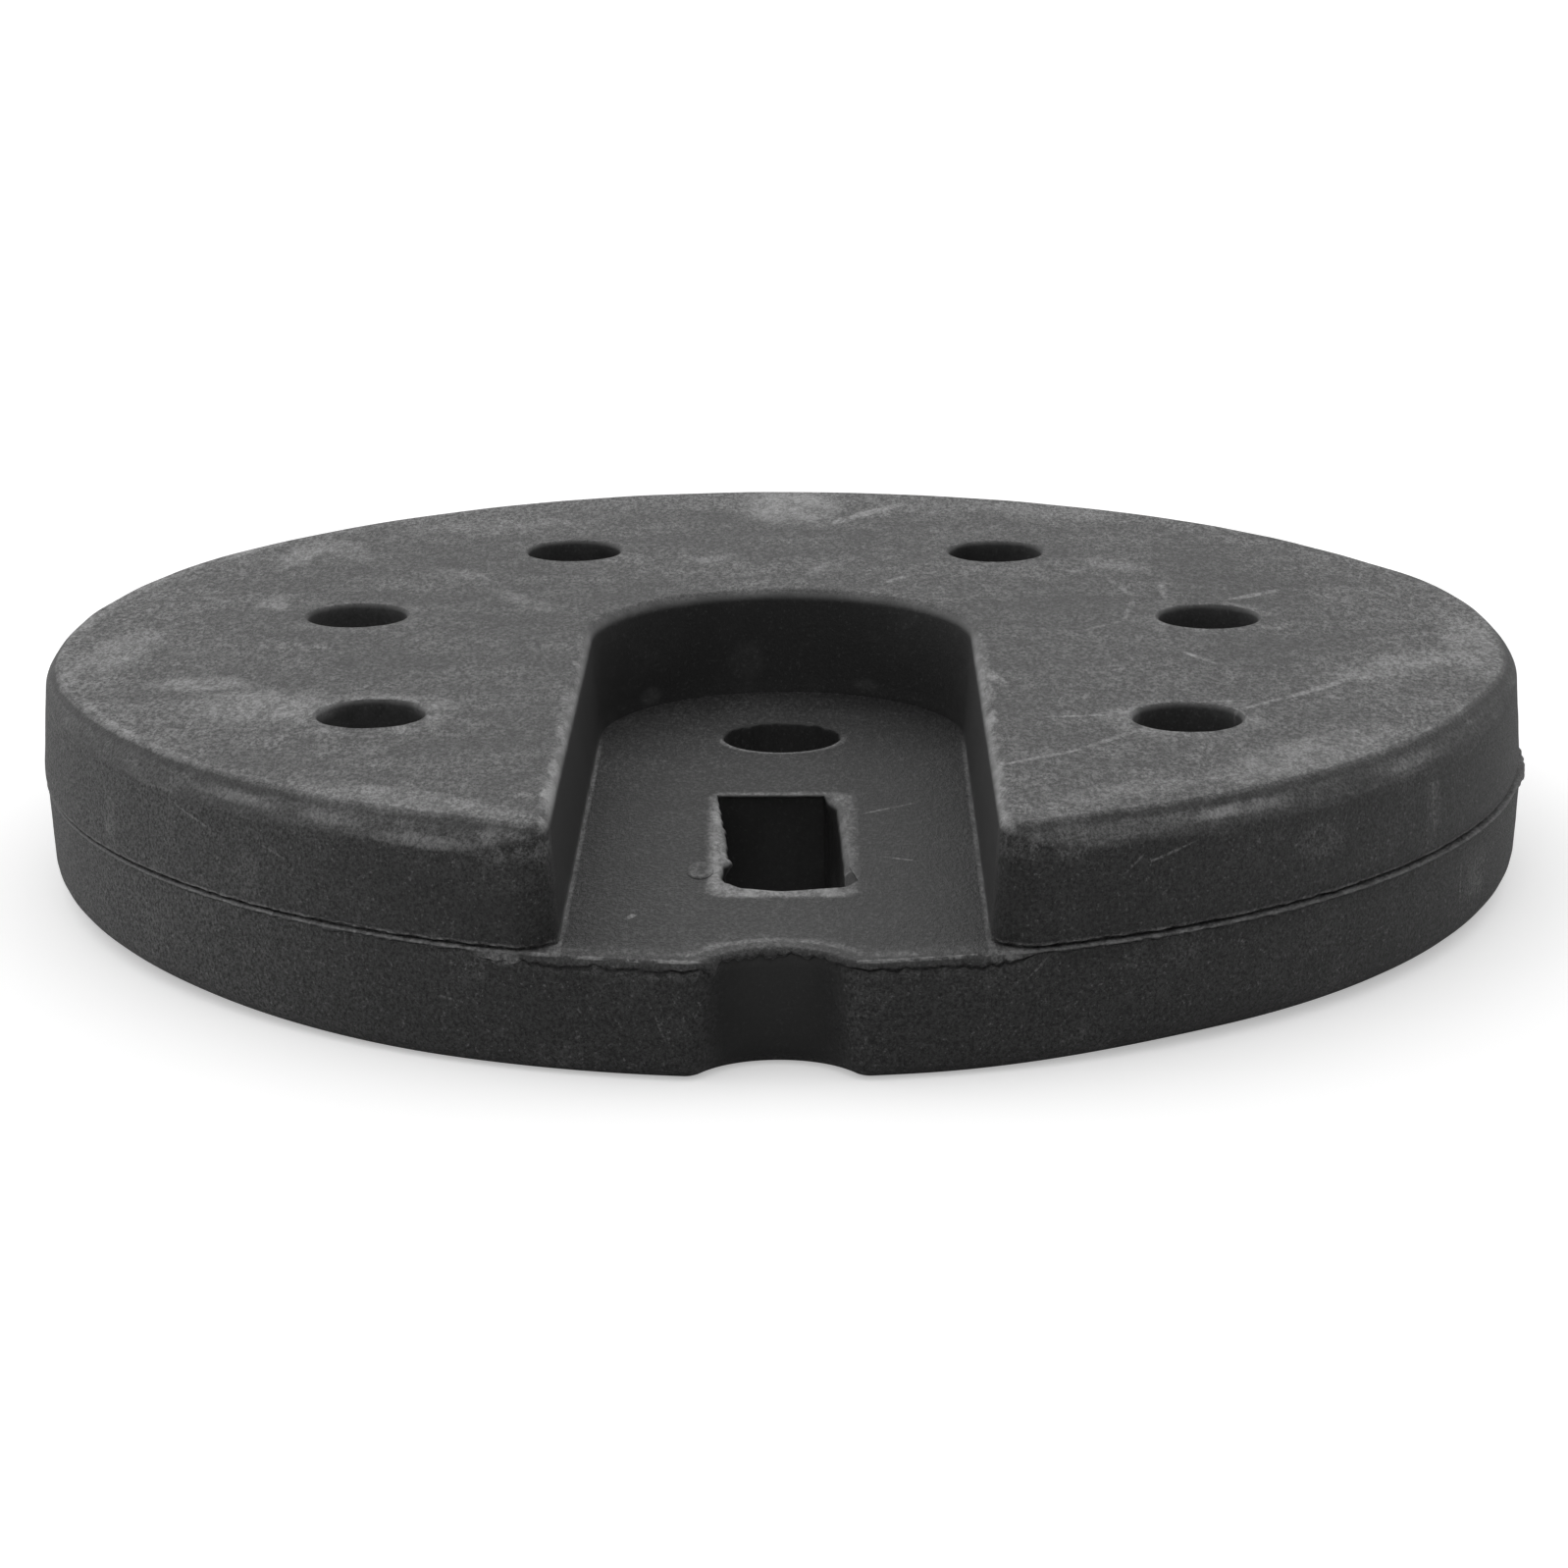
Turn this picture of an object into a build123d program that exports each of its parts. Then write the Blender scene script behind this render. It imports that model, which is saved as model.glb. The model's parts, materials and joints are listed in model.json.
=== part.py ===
from build123d import *
from math import radians, tan
import os

# A weighted lamp base: one thick disc of filled rubber, pressed in a two-part mould.
# The lower half is a full disc. The upper half is open at the front, where a round-ended
# recess runs in from the rim and leaves room for the nut of the lamp pipe and for the cord.
# Millimetres. Z = 0 is the underside, the Z axis is the pipe hole, and the recess opens to -Y.

# Driving dimensions of the disc, with its radius at the parting line of the mould
disc_radius = 70.0
lower_height = 10.3
upper_height = 10.3
mould_step = 0.2
draft = 4.0
top_rim_radius = 2.8
bottom_rim_radius = 3.6

# Driving dimensions of the recess in the upper half
recess_half_width = 17.5
recess_corner_radius = 3.0
recess_edge_radius = 0.8

# Driving dimensions of the cord notch in the rim of the lower half
notch_radius = 6.4
notch_depth = 4.2
notch_corner_radius = 2.2
notch_edge_radius = 0.6

# Driving dimensions of the pipe hole, and of the cord slot that lies in front of it
pipe_hole_radius = 5.6
pipe_to_slot = 15.6
slot_width = 10.6
slot_length = 28.8
slot_corner_radius = 0.8
slot_edge_radius = 0.9

# Driving dimensions of the through holes, with one (x, y) place for each pair
bolt_hole_radius = 4.8
front_pair = (36.0, -31.0)
middle_pair = (41.5, 7.1)
back_pair = (22.0, 36.7)
hole_edge_chamfer = 0.4

# How far the turned envelope stands off the walls and faces whose corners it rounds
envelope_gap = 0.04

lower_radius = disc_radius - mould_step
total_height = lower_height + upper_height
parting_plane = Plane.XY.offset(lower_height)


def drafted(radius, height):
    """Radius of a drafted wall at this distance from the parting line."""
    return radius - height * tan(radians(draft))


with BuildPart() as base_disc:
    # The lower half is a full disc, drafted towards the underside, with a round notch in
    # its front rim where the cord leaves. The notch's corners flow into the rim.
    notch_centre_y = -(lower_radius - notch_depth + notch_radius)
    with BuildSketch(parting_plane) as lower_plan:
        Circle(lower_radius)
        with Locations((0, notch_centre_y)):
            Circle(notch_radius, mode=Mode.SUBTRACT)
        notch_corners = lower_plan.vertices().group_by(Axis.Y)[0]
        fillet(notch_corners, notch_corner_radius)
    extrude(amount=-lower_height, taper=draft)
    fillet(faces().sort_by(Axis.Z)[0].edges(), notch_edge_radius)

    # The pipe hole and the slot go straight through the lower half. Their upper edges are
    # eased, and on the underside they are plain.
    slot_centre_y = -(pipe_hole_radius + pipe_to_slot + slot_length / 2)
    with BuildSketch(parting_plane) as floor_openings:
        Circle(pipe_hole_radius)
        with Locations((0, slot_centre_y)):
            RectangleRounded(slot_width, slot_length, slot_corner_radius)
    extrude(amount=-lower_height, mode=Mode.SUBTRACT)
    pipe_rim, slot_rim = faces().sort_by(Axis.Z)[-1].inner_wires().sort_by(Axis.Y, reverse=True)
    chamfer(pipe_rim.edges(), hole_edge_chamfer)
    fillet(slot_rim.edges(), slot_edge_radius)

    # The upper half is the same disc, drafted towards the top, less the recess. The recess
    # has a round back about the pipe hole, and its front corners flow into the rim.
    with BuildSketch(parting_plane) as upper_plan:
        Circle(disc_radius)
        Circle(recess_half_width, mode=Mode.SUBTRACT)
        with Locations((0, -disc_radius / 2)):
            Rectangle(2 * recess_half_width, disc_radius, mode=Mode.SUBTRACT)
        recess_corners = upper_plan.vertices().group_by(Axis.Y)[0]
        fillet(recess_corners, recess_corner_radius)
    extrude(amount=upper_height, taper=draft)
    fillet(faces().sort_by(Axis.Z)[-1].edges(), recess_edge_radius)

    # The outer rims are rounded by a turned envelope. It stands just clear of the drafted
    # walls and of both faces, and takes off only the corners between them.
    with BuildSketch(Plane.XZ) as envelope:
        with BuildLine():
            Polyline(
                (0, -envelope_gap),
                (drafted(lower_radius, lower_height) + envelope_gap, -envelope_gap),
                (lower_radius + envelope_gap, lower_height),
                (disc_radius + envelope_gap, lower_height),
                (drafted(disc_radius, upper_height) + envelope_gap, total_height + envelope_gap),
                (0, total_height + envelope_gap),
                close=True,
            )
        make_face()
        fillet(envelope.vertices().group_by(Axis.Y)[0].sort_by(Axis.X)[-1], bottom_rim_radius)
        fillet(envelope.vertices().group_by(Axis.Y)[-1].sort_by(Axis.X)[-1], top_rim_radius)
    revolve(axis=Axis.Z, mode=Mode.INTERSECT)

    # Three pairs of plain holes go right through, one of each pair to each side of the recess.
    bolt_places = [(side * x, y) for x, y in (front_pair, middle_pair, back_pair) for side in (-1, 1)]
    with BuildSketch() as bolt_plan:
        with Locations(*bolt_places):
            Circle(bolt_hole_radius)
    extrude(amount=total_height, mode=Mode.SUBTRACT)
    bolt_rims = faces().sort_by(Axis.Z)[-1].inner_wires()
    chamfer([wire.edge() for wire in bolt_rims], hole_edge_chamfer)

base_disc.part.label = "base_disc"

os.makedirs("parts", exist_ok=True)
export_step(base_disc.part, "parts/base_disc.step")
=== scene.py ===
import json
from collections import namedtuple
from math import atan2, ceil, cos, hypot, pi, radians, sin, sqrt, tan

import bmesh
import bpy
from mathutils import Matrix, Vector, noise


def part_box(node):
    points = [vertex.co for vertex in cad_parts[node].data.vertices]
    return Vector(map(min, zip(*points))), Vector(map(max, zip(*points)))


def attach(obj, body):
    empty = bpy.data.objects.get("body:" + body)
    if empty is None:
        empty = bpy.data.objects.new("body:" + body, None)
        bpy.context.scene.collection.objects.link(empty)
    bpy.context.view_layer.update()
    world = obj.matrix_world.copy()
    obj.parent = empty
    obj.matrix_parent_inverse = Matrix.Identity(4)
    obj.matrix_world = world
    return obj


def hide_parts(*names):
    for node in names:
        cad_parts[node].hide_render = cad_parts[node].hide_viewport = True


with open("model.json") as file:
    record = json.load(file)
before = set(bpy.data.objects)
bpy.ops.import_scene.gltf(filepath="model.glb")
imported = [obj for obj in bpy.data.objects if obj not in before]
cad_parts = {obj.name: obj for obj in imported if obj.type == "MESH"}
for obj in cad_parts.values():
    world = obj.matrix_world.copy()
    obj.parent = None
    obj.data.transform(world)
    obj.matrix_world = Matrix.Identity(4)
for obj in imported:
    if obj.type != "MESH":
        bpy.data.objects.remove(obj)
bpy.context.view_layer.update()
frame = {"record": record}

# The disc. A round weight of filled rubber, pressed hot in a steel mould of two parts that
# met at half height. It is one piece: the lower half is a full disc, and the upper half is
# open at the front, where the recess for the cord and the nut runs in.
mounts = {mount["name"]: mount for mount in frame["record"]["mounts"]}
mm = 0.001
_, high_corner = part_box("base_disc")
disc_height = high_corner.z
parting = disc_height / 2
upper_radius = round(high_corner.x, 4)
# How far the places along an outline are apart, and how far on the plain back of the rim.
fine_step = 0.26 * mm
coarse_step = 0.7 * mm

Place = namedtuple("Place", "x y nx ny")


def smooth(low, high, value):
    """0 at low, 1 at high, and an even curve between. low may be the larger."""
    t = min(max((value - low) / (high - low), 0), 1)
    return t * t * (3 - 2 * t)


def mix(first, second, share):
    return first + (second - first) * share


def ripple(x, y, wave, seed):
    """Even noise from -1 to 1 that rises and falls over about this wavelength."""
    return noise.noise(Vector((x / wave, y / wave, seed)))


def arc(centre, radius, start, end, step=fine_step):
    """Places along an arc. They face outwards where it turns left, and inwards to the right."""
    count = ceil(abs(end - start) * radius / step)
    side = 1 if end > start else -1
    for index in range(count):
        angle = start + (end - start) * index / count
        across, up = cos(angle), sin(angle)
        yield Place(centre[0] + radius * across, centre[1] + radius * up, side * across, side * up)


def line(start, end):
    """Places along a straight wall, facing to its right."""
    length = hypot(end[0] - start[0], end[1] - start[1])
    count = ceil(length / fine_step)
    ahead = ((end[0] - start[0]) / length, (end[1] - start[1]) / length)
    for index in range(count):
        share = index / count
        yield Place(mix(start[0], end[0], share), mix(start[1], end[1], share), ahead[1], -ahead[0])


def pressed_solid(name, outline, section):
    """A closed solid that follows the outline.

    section gives the rings of its wall at a place, each as (inset, height).
    """
    bpy.ops.object.select_all(action="DESELECT")
    bpy.ops.mesh.primitive_circle_add(vertices=len(outline), radius=upper_radius, fill_type="NGON")
    solid = bpy.context.object
    solid.name = name
    walls = [list(section(place)) for place in outline]
    bpy.ops.object.mode_set(mode="EDIT")
    mesh = bmesh.from_edit_mesh(solid.data)
    ring = list(mesh.verts)
    for level in range(len(walls[0])):
        if level:
            bpy.ops.mesh.extrude_region_move()
            ring = [
                next(
                    edge.other_vert(vert)
                    for edge in vert.link_edges
                    if edge.other_vert(vert).select
                )
                for vert in ring
            ]
        for vert, place, wall in zip(ring, outline, walls):
            inset, height = wall[level]
            vert.co = (place.x - place.nx * inset, place.y - place.ny * inset, height)
    bpy.ops.mesh.select_all(action="SELECT")
    bpy.ops.mesh.normals_make_consistent(inside=False)
    bpy.ops.object.mode_set(mode="OBJECT")
    return solid


def bends(*parts):
    """Short steps along a bent edge.

    Each part is (first turn, last turn, length, steps), in degrees and mm.
    """
    steps = []
    for first, last, length, count in parts:
        for index in range(count):
            steps.append((radians(mix(first, last, (index + 0.5) / count)), length * mm / count))
    return steps


def bent_edge(steps, wall_inset, edge_height, away):
    """The rings of an edge that bends from a leaning wall to a flat face.

    away is 1 where the face looks up, and -1 where it looks down.
    """
    height = edge_height - away * sum(length * cos(turn) for turn, length in steps)
    inset = wall_inset(height)
    yield inset, height
    for turn, length in steps:
        inset += length * sin(turn)
        height += away * length * cos(turn)
        yield inset, height


def combine(body, tools, operation):
    """Joins the tools to the body or cuts them from it, and takes them away."""
    bpy.ops.object.select_all(action="DESELECT")
    for tool in tools:
        tool.select_set(True)
    bpy.context.view_layer.objects.active = tools[0]
    if len(tools) > 1:
        bpy.ops.object.join()
    bpy.ops.object.select_all(action="DESELECT")
    bpy.context.view_layer.objects.active = body
    body.select_set(True)
    cut = body.modifiers.new("cut", "BOOLEAN")
    cut.operation = operation
    cut.solver = "EXACT"
    cut.object = tools[0]
    bpy.ops.object.modifier_apply(modifier="cut")
    bpy.data.objects.remove(tools[0], do_unlink=True)


# The lower half, with the round notch that the cord leaves by. The two parts of the mould let
# a little rubber out between them, which stands as a thin lip along the top of this half, torn
# in places. The mould closed a little out of line, so this half sits slightly to the right.
lower_radius = upper_radius - 0.1 * mm
lower_shift = 0.2 * mm
lower_draft = radians(3)
notch_radius = 6.4 * mm
notch_apex = -(lower_radius - 4.3 * mm)
shoulder_radius = 2.8 * mm
# How thick the lip is between the halves, where the upper half is open, and over the notch,
# and how far it stands out.
closed_lip = 0.24 * mm
open_lip = 0.60 * mm
notch_lip = 0.50 * mm
lip_stand = 0.10 * mm
# Where a flap and a lump of it are at the front, and a fin on the right-hand side.
flap_x = -22.3 * mm
lump_x = 16.8 * mm
fin_y = -11 * mm
# The foot is bent between these two, by the shares below.
sharp_foot = bends((5, 45, 0.9, 3), (45, 80, 0.9, 4))
round_foot = bends((5, 45, 2.2, 3), (45, 80, 2.8, 4))
front_rounding = 0.15
side_rounding = 0.9

notch_centre = (0, notch_apex - notch_radius)
shoulder_reach = lower_radius - shoulder_radius
shoulder_y = (
    (notch_radius + shoulder_radius) ** 2 - shoulder_reach**2 - notch_centre[1] ** 2
) / (2 * -notch_centre[1])
shoulder_x = sqrt(shoulder_reach**2 - shoulder_y**2)
rim_turn = atan2(shoulder_y, shoulder_x)
notch_turn = atan2(notch_centre[1] - shoulder_y, -shoulder_x)
lower_outline = [
    *arc((0, 0), lower_radius, rim_turn, 0),
    *arc((0, 0), lower_radius, 0, pi, coarse_step),
    *arc((0, 0), lower_radius, pi, pi - rim_turn),
    *arc((-shoulder_x, shoulder_y), shoulder_radius, -pi - rim_turn, -pi - notch_turn),
    *arc(notch_centre, notch_radius, -notch_turn, pi + notch_turn),
    *arc((shoulder_x, shoulder_y), shoulder_radius, 2 * pi + notch_turn, 2 * pi + rim_turn),
]


def lower_section(place):
    """The wall of the lower half, from the edge of its upper face down to the underside."""
    x, y = place.x, place.y
    in_front = y < 0
    # The lip is thick where the upper half is open, most ragged where it hangs out over the
    # notch, and thin between the halves, where it gets calm towards the left and right.
    open_share = smooth(21 * mm, 18.5 * mm, abs(x)) if in_front else 0
    over_notch = smooth(7.4 * mm, 5.8 * mm, abs(x)) * in_front
    calm = smooth(44 * mm, 54 * mm, abs(x)) * in_front
    torn = (0.7 * ripple(x, y, 2.4 * mm, 3) + ripple(x, y, 0.8 * mm, 4)) * mix(1, 0.2, calm)
    # A flap hangs below it beside the recess, a fin stands out at the right-hand side, and it
    # is lumpy just inside the recess on the right.
    flap = smooth(3.0 * mm, 1.8 * mm, abs(x - flap_x)) * in_front
    fin = smooth(8.5 * mm, 3 * mm, abs(y - fin_y)) * (x > 0)
    fin *= (0.26 + 0.30 * ripple(x, y, 1.6 * mm, 5)) * mm
    lump = smooth(3 * mm, 1.5 * mm, abs(x - lump_x)) * in_front
    lip = mix(mix(closed_lip, open_lip, open_share), notch_lip, over_notch)
    ragged = over_notch * mix(3, 1, smooth(-2 * mm, 2 * mm, x))
    lip += mix(0.14, 0.16, open_share) * mm * torn * (1 + lump + ragged)
    lip += 0.40 * mm * flap * (1 + 0.8 * torn)
    overhang = lip_stand + mix(0.16, 0.05, open_share) * mm * torn * (1 + 3 * lump)
    overhang += (0.28 * (1 + torn) * flap + (0.15 + 0.12 * torn) * over_notch) * mm + fin
    # Under the lip runs a crack, which closes in places, and under that a thin second layer.
    crack = mix(0.06 * mm, 0.32 * mm, open_share) * (1 + 0.6 * torn)
    crack *= mix(1, smooth(-0.7, 0.1, ripple(x, y, 5 * mm, 6)), open_share) * (1 + 2 * flap)
    layer = 0.15 * mm * open_share * (1 - over_notch) * (1 + torn)

    def wall_inset(height):
        return (parting - height) * tan(lower_draft)

    for step in range(6):
        turn = pi / 2 * (1 - step / 5)
        yield lip * (1 - cos(turn)) - overhang, parting - lip * (1 - sin(turn))
    yield 0.05 * mm - 0.4 * overhang, parting - lip - 0.4 * crack
    for cracks_down, inset in ((1, 0.08 * mm + 0.5 * layer), (1.5, -layer), (2.3, -0.4 * layer)):
        height = parting - lip - cracks_down * crack
        yield wall_inset(height) + inset, height
    for depth in (2.2, 3.4, 4.6):
        wave = 0.04 * mm * ripple(x, y, 6 * mm, depth)
        yield wall_inset(parting - depth * mm) + wave, parting - depth * mm
    # The foot is sharp at the front, and stays so for longer on the left than on the right.
    rounding = side_rounding
    if in_front:
        to_side = smooth(12 * mm, 38 * mm, x) if x > 0 else smooth(28 * mm, 62 * mm, -x)
        rounding = mix(front_rounding, side_rounding, to_side)
        rounding = mix(front_rounding, rounding, smooth(7.5 * mm, 13 * mm, abs(x)))
    foot = [
        (turn, mix(short, long, rounding))
        for (turn, short), (_, long) in zip(sharp_foot, round_foot)
    ]
    yield from bent_edge(foot, wall_inset, 0, -1)


lower_half = pressed_solid("lower_half", lower_outline, lower_section)
bpy.ops.object.mode_set(mode="EDIT")
bpy.ops.transform.translate(value=(lower_shift, 0, 0))
bpy.ops.object.mode_set(mode="OBJECT")

# The upper half, a horseshoe about the recess. Its outer rim is broken by a broad crown, the
# edge of the recess much less. The walls lean so that the steel could be drawn off them, and
# they curl in a little at the bottom, where the two parts of the mould met.
upper_draft = radians(4)
recess_half_width = 17.5 * mm
corner_radius = 3.0 * mm
crown = bends((5, 28, 0.7, 3), (28, 50, 2.5, 4), (50, 86, 0.5, 4))
recess_edge = bends((5, 40, 0.6, 3), (40, 70, 0.7, 4), (70, 86, 0.4, 4))

corner_x = recess_half_width + corner_radius
corner_y = -sqrt((upper_radius - corner_radius) ** 2 - corner_x**2)
corner_turn = atan2(corner_y, corner_x)
upper_outline = [
    *arc((0, 0), upper_radius, corner_turn, 0),
    *arc((0, 0), upper_radius, 0, pi, coarse_step),
    *arc((0, 0), upper_radius, pi, pi - corner_turn),
    *arc((-corner_x, corner_y), corner_radius, -pi - corner_turn, 0),
    *line((-recess_half_width, corner_y), (-recess_half_width, 0)),
    *arc((0, 0), recess_half_width, pi, 0),
    *line((recess_half_width, 0), (recess_half_width, corner_y)),
    *arc((corner_x, corner_y), corner_radius, pi, 2 * pi + corner_turn),
]


def upper_section(place):
    """The wall of the upper half, from inside the lower half up to its flat top."""
    x, y = place.x, place.y
    rim_share = smooth(66.4 * mm, 68.8 * mm, hypot(x, y))
    crown_share = rim_share
    if y < -50 * mm:
        crown_share = smooth(recess_half_width, 26 * mm, abs(x))
    torn = ripple(x, y, 1.6 * mm, 7) + 0.7 * ripple(x, y, 0.6 * mm, 8)
    torn *= mix(1, 0.3, smooth(44 * mm, 54 * mm, abs(x)))

    def wall_inset(height):
        return (height - parting) * tan(upper_draft)

    # The curl is shallower at the left. It leaves a dark groove above the lip.
    curled = mix(0.5, 1, smooth(-66 * mm, -44 * mm, x)) * rim_share
    yield 1.6 * mm * rim_share, parting - 0.8 * mm
    yield 0.85 * mm * rim_share, parting + 0.03 * mm * rim_share
    for height, curl in ((0.22, 0.60), (0.34, 0.24), (0.62, 0.12), (1.0, 0.05), (1.5, 0)):
        height = (height + 0.12 * torn * (height < 0.5)) * mm
        yield wall_inset(parting + height) + curl * (1 + 0.3 * torn) * mm * curled, parting + height
    for height in (3.1, 4.6, 5.8):
        wave = 0.04 * mm * ripple(x, y, 6 * mm, height)
        yield wall_inset(parting + height * mm) + wave, parting + height * mm
    # The crown is tighter at the left and right, and a little broader at the back on the right.
    worn = 1 + 0.08 * ripple(x, y, 7 * mm, 9)
    worn -= 0.35 * smooth(-50 * mm, -66 * mm, x) * smooth(-42 * mm, -18 * mm, y)
    worn -= 0.30 * smooth(62 * mm, 69 * mm, x)
    worn += mix(-0.20, 0.45, smooth(-20 * mm, 40 * mm, x)) * smooth(20 * mm, 40 * mm, y)
    edge = [
        (mix(sharp_turn, turn, crown_share), worn * mix(short, length, crown_share))
        for (turn, length), (sharp_turn, short) in zip(crown, recess_edge)
    ]
    yield from bent_edge(edge, wall_inset, disc_height, 1)


upper_half = pressed_solid("upper_half", upper_outline, upper_section)

# A flake of rubber that the left edge of the slot let out. It is an oval, pressed flat on the
# floor of the recess, and it stands 0.2 mm above it.
flake_x, flake_y = -6.6 * mm, -44.4 * mm
flake_half_width = 1.15 * mm
flake_half_length = 2.5 * mm
flake_places = 60
flake_outline = []
for index in range(flake_places):
    angle = 2 * pi * index / flake_places
    right, back = cos(angle), sin(angle)
    x, y = flake_x + flake_half_width * right, flake_y + flake_half_length * back
    flake_outline.append(Place(x, y, right, back))
flake_rings = [
    (0, parting - 0.3 * mm),
    (0, parting + 0.05 * mm),
    (0.12 * mm, parting + 0.14 * mm),
    (0.7 * mm, parting + 0.18 * mm),
]
flake = pressed_solid("flake", flake_outline, lambda place: flake_rings)
combine(lower_half, [upper_half, flake], "UNION")
disc = lower_half
disc.name = "rubber_disc"

# The holes. The pipe hole and three pairs of plain holes are moulded by smooth round pins, and
# handling has eased their upper edges. The slot for the cord is cored by a plain bar, which
# stood a little askew. None of them is exactly in its place.
pipe_hole = mounts["lamp_pipe_hole"]["dims"]["r_mm"] * mm
bolt_hole = mounts["front_holes"]["dims"]["hole_r_mm"] * mm
hole_places = {
    "front_left": (-36.1 * mm, -29.8 * mm),
    "front_right": (36.0 * mm, -32.2 * mm),
    "middle_left": (-41.5 * mm, 8.2 * mm),
    "middle_right": (41.4 * mm, 6.1 * mm),
    "back_left": (-22.0 * mm, 37.3 * mm),
    "back_right": (22.0 * mm, 36.1 * mm),
}
nib_y = -41 * mm
slot_corners = [
    (-4.2 * mm, -47.6 * mm),
    (-2.8 * mm, -48.8 * mm),
    (0.4 * mm, -49.7 * mm),
    (5.8 * mm, -48.5 * mm),
    (5.4 * mm, -32.7 * mm),
    (5.1 * mm, -24.0 * mm),
    (4.0 * mm, -20.5 * mm),
    (-5.7 * mm, -20.5 * mm),
    (-4.4 * mm, -36.0 * mm),
    (-4.3 * mm, -41.8 * mm),
    (-4.6 * mm, -42.4 * mm),
    (-4.7 * mm, -46.2 * mm),
]


def pin_rings(top, ease, wall, lean=0):
    """The wall of a mould pin. Its top widens, which leaves an eased edge in the rubber."""
    yield wall - lean, -1 * mm
    yield wall - lean, top - 2.5 * ease
    yield wall, top - ease
    for step in range(1, 6):
        turn = pi / 2 * step / 5
        yield wall - ease * (1 - cos(turn)), top - ease * (1 - sin(turn))
    yield wall - ease * 1.05, top + 1 * mm


def bolt_pin(place):
    uneven = ripple(place.x, place.y, 3 * mm, 12) + 0.4 * ripple(place.x, place.y, 1 * mm, 13)
    return pin_rings(disc_height, 0.50 * mm * (1 + 0.25 * uneven), 0)


def pipe_pin(place):
    uneven = ripple(place.x, place.y, 1.4 * mm, 12) + 0.6 * ripple(place.x, place.y, 0.6 * mm, 13)
    return pin_rings(parting, 0.32 * mm * (1 + 0.5 * uneven), 0.16 * mm * (uneven + 0.3))


def slot_bar(place):
    """Sharp at the back of the slot, and ragged on its left, where a nib stands into it."""
    uneven = ripple(place.x, place.y, 1.6 * mm, 12) + 0.5 * ripple(place.x, place.y, 0.6 * mm, 13)
    back = smooth(-21.6 * mm, -20.8 * mm, place.y)
    left = smooth(-1 * mm, -4 * mm, place.x) * (1 - back)
    nib = 0.30 * mm * left * smooth(0.7 * mm, 0.1 * mm, abs(place.y - nib_y))
    ease = mix(mix(0.85 * mm, 0.55 * mm, left), 0.2 * mm, back)
    return pin_rings(parting, ease, nib + mix(0.07, 0.20, left) * mm * uneven, 0.35 * mm + nib)


pins = [
    pressed_solid(name + "_pin", list(arc(place, bolt_hole, 0, 2 * pi)), bolt_pin)
    for name, place in hole_places.items()
]
pins.append(pressed_solid("pipe_pin", list(arc((0, 0), pipe_hole, 0, 2 * pi)), pipe_pin))
slot_outline = []
for start, end in zip(slot_corners, slot_corners[1:] + slot_corners[:1]):
    slot_outline += line(start, end)
pins.append(pressed_solid("slot_bar", slot_outline, slot_bar))
combine(disc, pins, "DIFFERENCE")

# The lip of the slot is torn out at its front corner on the right. The tear goes down a slope
# into the slot, from an outer edge that lies at a slant to it.
tear_corners = [
    (5.2 * mm, -41.2 * mm),
    (5.2 * mm, -49.4 * mm),
    (6.0 * mm, -48.9 * mm),
    (6.9 * mm, -47.3 * mm),
    (6.0 * mm, -42.0 * mm),
]
tear_outline = []
for start, end in zip(tear_corners, tear_corners[1:] + tear_corners[:1]):
    tear_outline += line(start, end)


def tear_section(place):
    outer_edge = 6.0 * mm - 0.17 * (place.y + 42 * mm)
    depth = 0.1 * mm + 0.6 * max(outer_edge - place.x, 0)
    ragged = 0.10 * mm * ripple(place.x, place.y, 0.9 * mm, 14)
    return [(0, parting - depth), (ragged, parting + 1 * mm)]


tear = pressed_solid("tear", tear_outline, tear_section)
combine(disc, [tear], "DIFFERENCE")

bpy.ops.object.select_all(action="DESELECT")
disc.select_set(True)
bpy.context.view_layer.objects.active = disc
bpy.ops.object.shade_smooth_by_angle(angle=radians(34))
weighted = disc.modifiers.new("weighted", "WEIGHTED_NORMAL")
weighted.keep_sharp = True
bpy.ops.object.modifier_apply(modifier="weighted")

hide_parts("base_disc")
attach(disc, "root")

# The finish of the disc: black natural rubber, heavily filled with chalk, as it left a blasted
# steel mould. It is matt, with a fine grain. A pale bloom has come out on it in clouds, and
# handling has rubbed the edges, the corners and the lip of the slot to a light grey.
# Some light and shade is painted into the colour as well: a sheen on the top, light on the front of
# the recess floor and its lip, and shade where the crown meets the top, in the hollows, the notch
# and the slot, and beside the recess.
rubber_black = "#262626"
bloom_and_painted_light_grey = "#707070"
wear_and_highlight_grey = "#9c9c9c"
# The patterns are laid out in mm and degrees. These are the sizes that they share with the mesh.
top_z = round(disc_height / mm, 2)
floor_z = round(parting / mm, 2)
rim_radius = upper_radius / mm

rubber = bpy.data.materials.new("filled_rubber_moulded")
rubber.use_nodes = True
tree = rubber.node_tree
disc.data.materials.clear()
disc.data.materials.append(rubber)


def linear(hex_colour):
    """The linear colour of an sRGB hex value."""
    parts = [int(hex_colour[index : index + 2], 16) / 255 for index in (1, 3, 5)]
    parts = [part / 12.92 if part <= 0.04045 else ((part + 0.055) / 1.055) ** 2.4 for part in parts]
    return (*parts, 1)


def add(kind, *inputs, **settings):
    """Adds a node.

    Its inputs come in order or by their capitalised names, each as a value, a socket or a node.
    """
    node = tree.nodes.new("ShaderNode" + kind)
    sockets = dict(enumerate(inputs))
    for name, value in settings.items():
        if name.islower():
            setattr(node, name, value)
        else:
            sockets[name] = value
    for key, value in sockets.items():
        if isinstance(value, bpy.types.Node):
            value = value.outputs[0]
        if isinstance(value, bpy.types.NodeSocket):
            tree.links.new(value, node.inputs[key])
        else:
            node.inputs[key].default_value = value
    return node


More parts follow.
